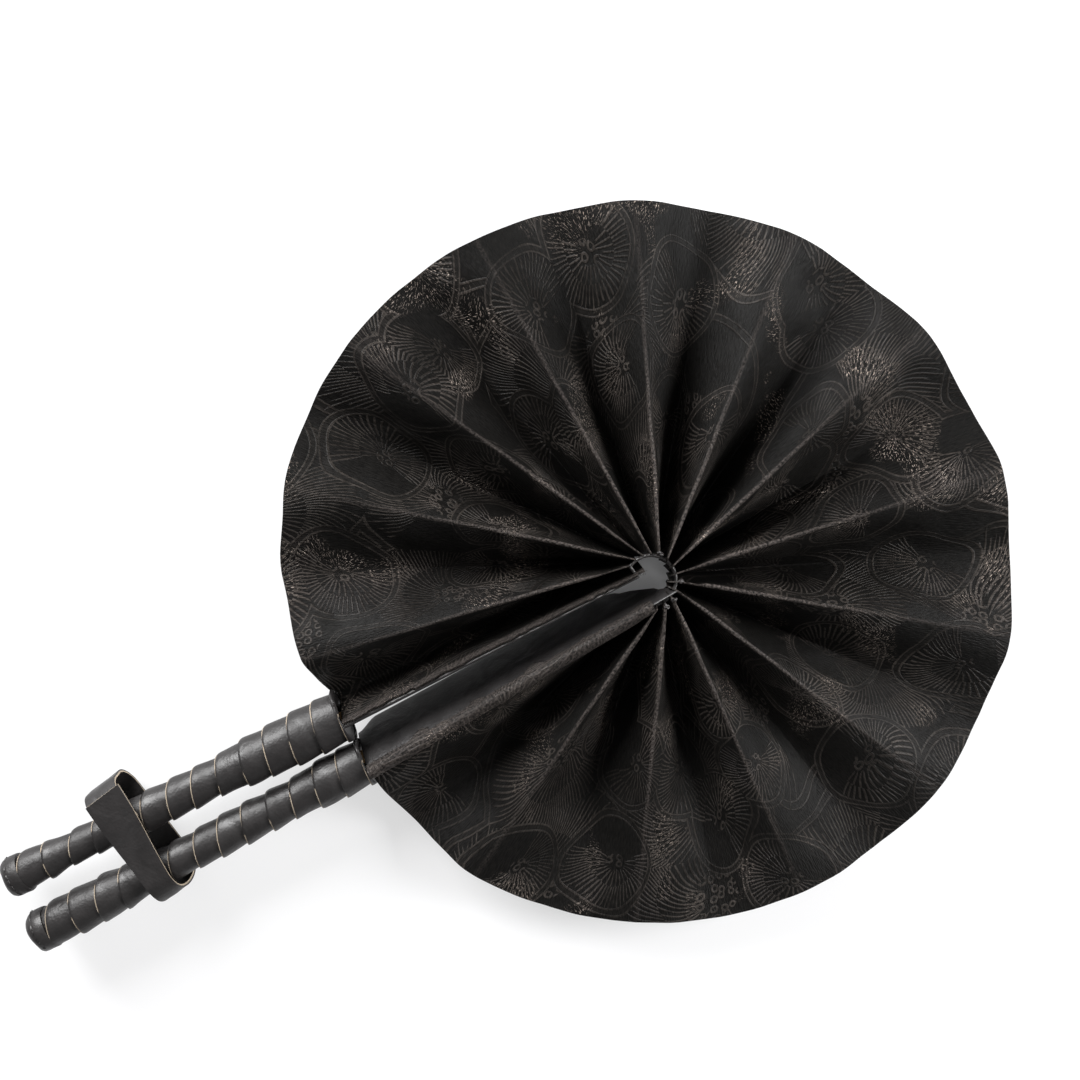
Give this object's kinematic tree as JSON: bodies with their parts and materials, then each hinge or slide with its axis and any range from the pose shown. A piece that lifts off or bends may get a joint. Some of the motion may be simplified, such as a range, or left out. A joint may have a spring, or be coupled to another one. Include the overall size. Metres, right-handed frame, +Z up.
{
  "type": "folding fan",
  "caption": "Pleated brocade fan that opens to a full circle on two leather-wrapped handles, with a leather band that slides over both grips.",
  "frame": {"origin": "centre of the bounding box's base, on the plane that the open fan lies on", "axes": "+Z up to the fan's front, -Y along the handles to their butts, +X to the side of the second handle"},
  "size_m": [0.2884, 0.4192, 0.0345],
  "materials": {
    "black_leather": "smooth, half matt",
    "black_brocade": "satin with a raised woven pattern",
    "palm_wood": "plain",
    "black_thread": "matt"
  },
  "bodies": {
    "handle_a": {"stick_a": "palm_wood", "guard_cover_a": "black_leather", "grip_wrap_a": "black_leather", "butt_fold_a": "black_leather", "leaf_end_a": "black_brocade", "gather_thread": "black_thread"},
    "ridge_01": {"leaf_panel_01": "black_brocade"},
    "valley_01": {"leaf_panel_02": "black_brocade"},
    "ridge_02": {"leaf_panel_03": "black_brocade"},
    "valley_02": {"leaf_panel_04": "black_brocade"},
    "ridge_03": {"leaf_panel_05": "black_brocade"},
    "valley_03": {"leaf_panel_06": "black_brocade"},
    "ridge_04": {"leaf_panel_07": "black_brocade"},
    "valley_04": {"leaf_panel_08": "black_brocade"},
    "ridge_05": {"leaf_panel_09": "black_brocade"},
    "valley_05": {"leaf_panel_10": "black_brocade"},
    "ridge_06": {"leaf_panel_11": "black_brocade"},
    "valley_06": {"leaf_panel_12": "black_brocade"},
    "ridge_07": {"leaf_panel_13": "black_brocade"},
    "valley_07": {"leaf_panel_14": "black_brocade"},
    "ridge_08": {"leaf_panel_15": "black_brocade"},
    "valley_08": {"leaf_panel_16": "black_brocade"},
    "ridge_09": {"leaf_panel_17": "black_brocade"},
    "valley_09": {"leaf_panel_18": "black_brocade"},
    "ridge_10": {"leaf_panel_19": "black_brocade"},
    "valley_10": {"leaf_panel_20": "black_brocade"},
    "ridge_11": {"leaf_panel_21": "black_brocade"},
    "valley_11": {"leaf_panel_22": "black_brocade"},
    "ridge_12": {"leaf_panel_23": "black_brocade"},
    "valley_12": {"leaf_panel_24": "black_brocade"},
    "ridge_13": {"leaf_panel_25": "black_brocade"},
    "valley_13": {"leaf_panel_26": "black_brocade", "leaf_panel_27": "black_brocade"},
    "handle_b": {"stick_b": "palm_wood", "guard_cover_b": "black_leather", "grip_wrap_b": "black_leather", "butt_fold_b": "black_leather", "leaf_end_b": "black_brocade"},
    "keeper": {"keeper_band": "black_leather"}
  },
  "joints": [
    {"name": "fold_ridge_01", "type": "hinge", "parent": "handle_a", "child": "ridge_01", "pos_m": [-0.00873, 0.06843, 0.01457], "axis": [-0.2127, 0.6866, 0.6952], "range_deg": [0, 14.93], "deforming": ["leaf_panel_01"]},
    {"name": "fold_valley_01", "type": "hinge", "parent": "ridge_01", "child": "valley_01", "pos_m": [-0.00275, 0.0618, 0.01786], "axis": [0.5564, -0.1585, 0.8157], "range_deg": [0, 16.94], "deforming": ["leaf_panel_02"]},
    {"name": "fold_ridge_02", "type": "hinge", "parent": "valley_01", "child": "ridge_02", "pos_m": [-0.00525, 0.06378, 0.01545], "axis": [-0.5309, 0.3033, 0.7913], "range_deg": [0, 17.4], "deforming": ["leaf_panel_03"]},
    {"name": "fold_valley_02", "type": "hinge", "parent": "ridge_02", "child": "valley_02", "pos_m": [-0.00693, 0.06477, 0.01915], "axis": [0.431, -0.3978, 0.81], "range_deg": [0, 14.95], "deforming": ["leaf_panel_04"]},
    {"name": "fold_ridge_03", "type": "hinge", "parent": "valley_02", "child": "ridge_03", "pos_m": [-0.00692, 0.06493, 0.01646], "axis": [-0.322, 0.4571, 0.8291], "range_deg": [0, 14.6], "deforming": ["leaf_panel_05"]},
    {"name": "fold_valley_03", "type": "hinge", "parent": "ridge_03", "child": "valley_03", "pos_m": [-0.00778, 0.06701, 0.0184], "axis": [0.2185, -0.5166, 0.8279], "range_deg": [0, 14.89], "deforming": ["leaf_panel_06"]},
    {"name": "fold_ridge_04", "type": "hinge", "parent": "valley_03", "child": "ridge_04", "pos_m": [-0.00786, 0.06782, 0.01666], "axis": [-0.1049, 0.5617, 0.8207], "range_deg": [0, 15.03], "deforming": ["leaf_panel_07"]},
    {"name": "fold_valley_04", "type": "hinge", "parent": "ridge_04", "child": "valley_04", "pos_m": [-0.00786, 0.0701, 0.01819], "axis": [-0.0191, -0.5757, 0.8174], "range_deg": [0, 15.38], "deforming": ["leaf_panel_08"]},
    {"name": "fold_ridge_05", "type": "hinge", "parent": "valley_04", "child": "ridge_05", "pos_m": [-0.00759, 0.07098, 0.01686], "axis": [0.1473, 0.5696, 0.8086], "range_deg": [0, 15.56], "deforming": ["leaf_panel_09"]},
    {"name": "fold_valley_05", "type": "hinge", "parent": "ridge_05", "child": "valley_05", "pos_m": [-0.00666, 0.07309, 0.01799], "axis": [-0.2716, -0.5278, 0.8048], "range_deg": [0, 15.94], "deforming": ["leaf_panel_10"]},
    {"name": "fold_ridge_06", "type": "hinge", "parent": "valley_05", "child": "ridge_06", "pos_m": [-0.00601, 0.07387, 0.01707], "axis": [0.3897, 0.4629, 0.7961], "range_deg": [0, 16.13], "deforming": ["leaf_panel_11"]},
    {"name": "fold_valley_06", "type": "hinge", "parent": "ridge_06", "child": "valley_06", "pos_m": [-0.00425, 0.07541, 0.01777], "axis": [-0.4867, -0.3656, 0.7934], "range_deg": [0, 16.49], "deforming": ["leaf_panel_12"]},
    {"name": "fold_ridge_07", "type": "hinge", "parent": "valley_06", "child": "ridge_07", "pos_m": [-0.00326, 0.07589, 0.01728], "axis": [0.5654, 0.2493, 0.7863], "range_deg": [0, 16.64], "deforming": ["leaf_panel_13"]},
    {"name": "fold_valley_07", "type": "hinge", "parent": "ridge_07", "child": "valley_07", "pos_m": [-0.00101, 0.07652, 0.01755], "axis": [-0.6087, -0.1134, 0.7853], "range_deg": [0, 16.96], "deforming": ["leaf_panel_14"]},
    {"name": "fold_ridge_08", "type": "hinge", "parent": "valley_07", "child": "ridge_08", "pos_m": [0.00012, 0.07654, 0.01752], "axis": [0.6257, -0.0305, 0.7795], "range_deg": [0, 17.07], "deforming": ["leaf_panel_15"]},
    {"name": "fold_valley_08", "type": "hinge", "parent": "ridge_08", "child": "valley_08", "pos_m": [0.00239, 0.07613, 0.01729], "axis": [-0.602, 0.1755, 0.7789], "range_deg": [0, 17.37], "deforming": ["leaf_panel_16"]},
    {"name": "fold_ridge_09", "type": "hinge", "parent": "valley_08", "child": "ridge_09", "pos_m": [0.00343, 0.07568, 0.01779], "axis": [0.551, -0.3158, 0.7724], "range_deg": [0, 17.5], "deforming": ["leaf_panel_17"]},
    {"name": "fold_valley_09", "type": "hinge", "parent": "ridge_09", "child": "valley_09", "pos_m": [0.00526, 0.07434, 0.01699], "axis": [-0.4632, 0.4395, 0.7696], "range_deg": [0, 17.85], "deforming": ["leaf_panel_18"]},
    {"name": "fold_ridge_10", "type": "hinge", "parent": "valley_09", "child": "ridge_10", "pos_m": [0.00602, 0.0735, 0.01811], "axis": [0.3519, -0.5476, 0.7592], "range_deg": [0, 18.09], "deforming": ["leaf_panel_19"]},
    {"name": "fold_valley_10", "type": "hinge", "parent": "ridge_10", "child": "valley_10", "pos_m": [0.00706, 0.07154, 0.01665], "axis": [-0.2132, 0.6254, 0.7506], "range_deg": [0, 18.6], "deforming": ["leaf_panel_20"]},
    {"name": "fold_ridge_11", "type": "hinge", "parent": "valley_10", "child": "ridge_11", "pos_m": [0.0074, 0.07045, 0.0185], "axis": [0.0572, -0.6799, 0.7311], "range_deg": [0, 19.09], "deforming": ["leaf_panel_21"]},
    {"name": "fold_valley_11", "type": "hinge", "parent": "ridge_11", "child": "valley_11", "pos_m": [0.00735, 0.06803, 0.01652], "axis": [0.1119, 0.6818, 0.7229], "range_deg": [0, 19.62], "deforming": ["leaf_panel_22"]},
    {"name": "fold_ridge_12", "type": "hinge", "parent": "valley_11", "child": "ridge_12", "pos_m": [0.00702, 0.06688, 0.0185], "axis": [-0.2779, -0.6372, 0.7189], "range_deg": [0, 19.72], "deforming": ["leaf_panel_23"]},
    {"name": "fold_valley_12", "type": "hinge", "parent": "ridge_12", "child": "valley_12", "pos_m": [0.006, 0.06506, 0.01631], "axis": [0.4258, 0.5466, 0.7211], "range_deg": [0, 19.96], "deforming": ["leaf_panel_24"]},
    {"name": "fold_ridge_13", "type": "hinge", "parent": "valley_12", "child": "ridge_13", "pos_m": [0.00459, 0.06378, 0.01785], "axis": [-0.52, -0.4008, 0.7543], "range_deg": [0, 19.08], "deforming": ["leaf_panel_25"]},
    {"name": "fold_valley_13", "type": "hinge", "parent": "ridge_13", "child": "valley_13", "pos_m": [0.00321, 0.06258, 0.01687], "axis": [0.5764, 0.2582, 0.7753], "range_deg": [0, 16.14], "deforming": ["leaf_panel_26"]},
    {"name": "fan_fold", "type": "hinge", "parent": "valley_13", "child": "handle_b", "pos_m": [0.00698, 0.06806, 0.0176], "axis": [-0.0794, -0.7166, 0.693], "range_deg": [0, 22.03], "deforming": ["leaf_panel_27", "gather_thread"]},
    {"name": "keeper_slide", "type": "slide", "parent": "handle_a", "child": "keeper", "axis": [0.054, -0.9985, 0], "range_m": [-0.022, 0.08]}
  ],
  "couplings": [
    {"joint": "fold_ridge_01", "follows": "fan_fold", "ratio": 0.67756},
    {"joint": "fold_valley_01", "follows": "fan_fold", "ratio": 0.76872},
    {"joint": "fold_ridge_02", "follows": "fan_fold", "ratio": 0.78987},
    {"joint": "fold_valley_02", "follows": "fan_fold", "ratio": 0.67843},
    {"joint": "fold_ridge_03", "follows": "fan_fold", "ratio": 0.66252},
    {"joint": "fold_valley_03", "follows": "fan_fold", "ratio": 0.67588},
    {"joint": "fold_ridge_04", "follows": "fan_fold", "ratio": 0.68201},
    {"joint": "fold_valley_04", "follows": "fan_fold", "ratio": 0.6979},
    {"joint": "fold_ridge_05", "follows": "fan_fold", "ratio": 0.70615},
    {"joint": "fold_valley_05", "follows": "fan_fold", "ratio": 0.72332},
    {"joint": "fold_ridge_06", "follows": "fan_fold", "ratio": 0.73196},
    {"joint": "fold_valley_06", "follows": "fan_fold", "ratio": 0.74832},
    {"joint": "fold_ridge_07", "follows": "fan_fold", "ratio": 0.75537},
    {"joint": "fold_valley_07", "follows": "fan_fold", "ratio": 0.76961},
    {"joint": "fold_ridge_08", "follows": "fan_fold", "ratio": 0.77489},
    {"joint": "fold_valley_08", "follows": "fan_fold", "ratio": 0.78828},
    {"joint": "fold_ridge_09", "follows": "fan_fold", "ratio": 0.79433},
    {"joint": "fold_valley_09", "follows": "fan_fold", "ratio": 0.8103},
    {"joint": "fold_ridge_10", "follows": "fan_fold", "ratio": 0.8211},
    {"joint": "fold_valley_10", "follows": "fan_fold", "ratio": 0.84409},
    {"joint": "fold_ridge_11", "follows": "fan_fold", "ratio": 0.86633},
    {"joint": "fold_valley_11", "follows": "fan_fold", "ratio": 0.89025},
    {"joint": "fold_ridge_12", "follows": "fan_fold", "ratio": 0.89484},
    {"joint": "fold_valley_12", "follows": "fan_fold", "ratio": 0.90581},
    {"joint": "fold_ridge_13", "follows": "fan_fold", "ratio": 0.86598},
    {"joint": "fold_valley_13", "follows": "fan_fold", "ratio": 0.73251}
  ]
}
